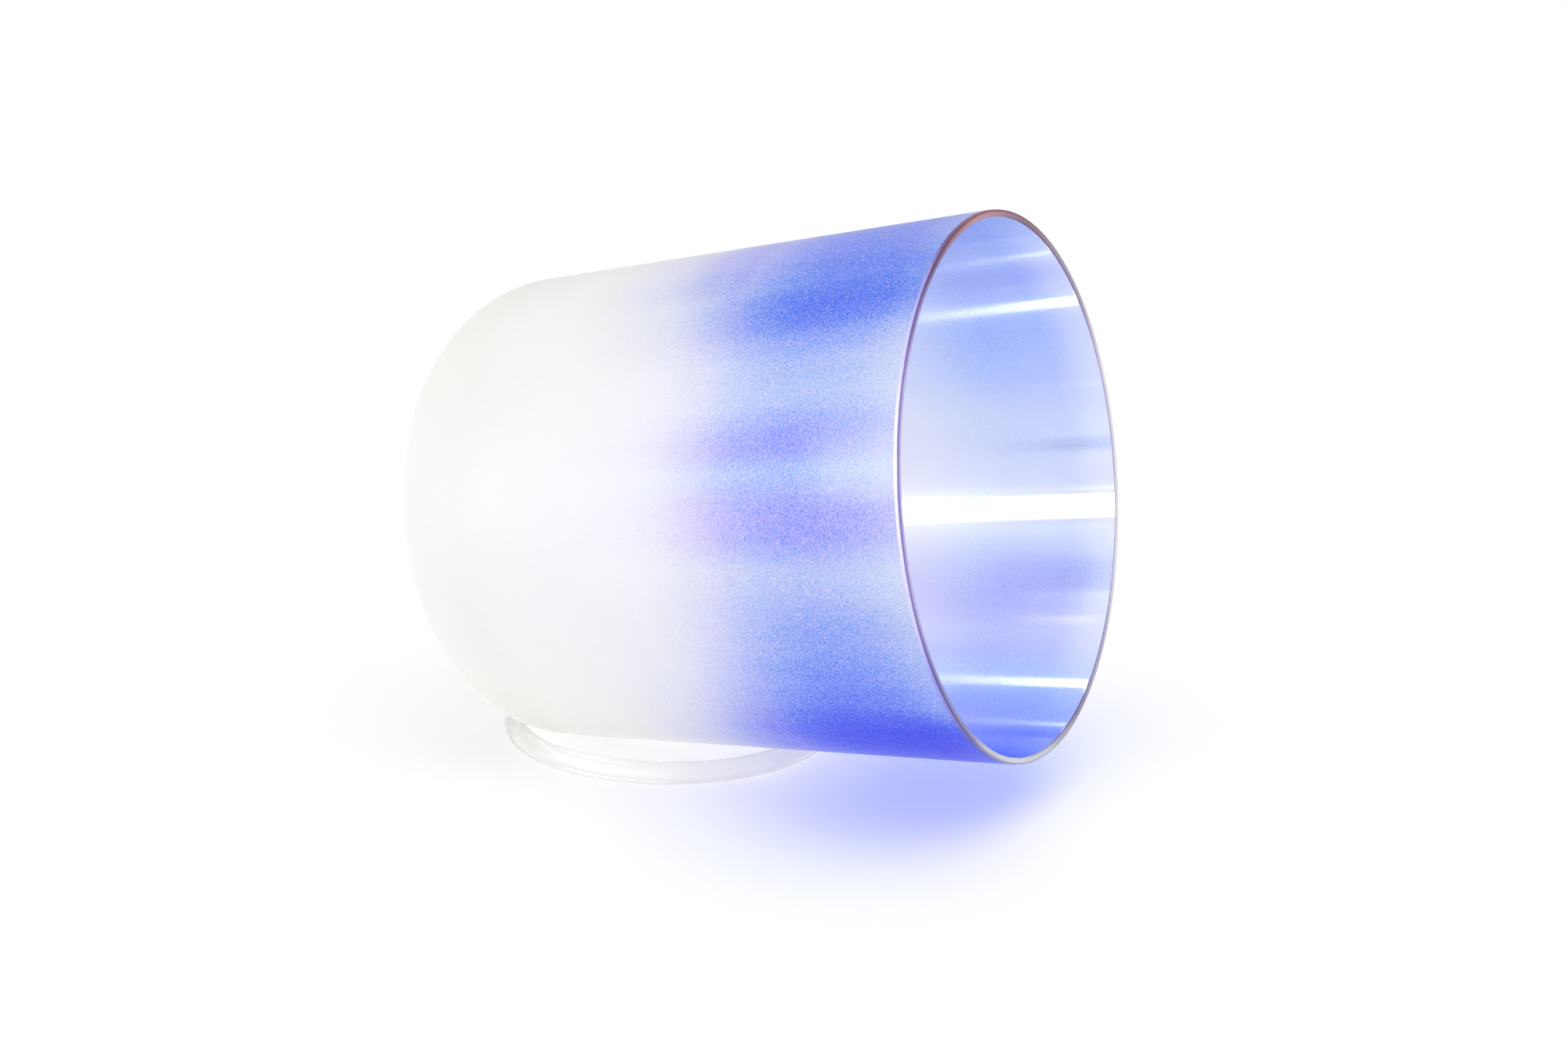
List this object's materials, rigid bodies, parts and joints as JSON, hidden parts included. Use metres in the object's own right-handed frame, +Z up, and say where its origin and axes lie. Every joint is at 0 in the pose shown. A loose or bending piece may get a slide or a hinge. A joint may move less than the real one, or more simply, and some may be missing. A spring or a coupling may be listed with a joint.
{
  "type": "crystal singing bowl",
  "caption": "Thin-walled frosted quartz singing bowl with a blue coated mouth, lying on its side in a clear silicone support ring.",
  "frame": {"origin": "on the floor, under the middle of the overall bounding box of the bowl lying in its ring", "axes": "+Z up; the bowl's axis lies in the plane y = 0, with the mouth towards +X and tipped upwards by 9.85 degrees"},
  "size_m": [0.219, 0.1778, 0.192],
  "materials": {
    "frosted_quartz": "sandblasted, with a translucent blue coat at the mouth",
    "clear_silicone": "clear, moulded"
  },
  "bodies": {
    "ring": {"support_ring": "clear_silicone"},
    "bowl": {"bowl": "frosted_quartz"}
  },
  "joints": [
    {"name": "bowl_lift", "type": "slide", "parent": "ring", "child": "bowl", "axis": [0, 0, 1], "range_m": [0, 0.08]}
  ]
}
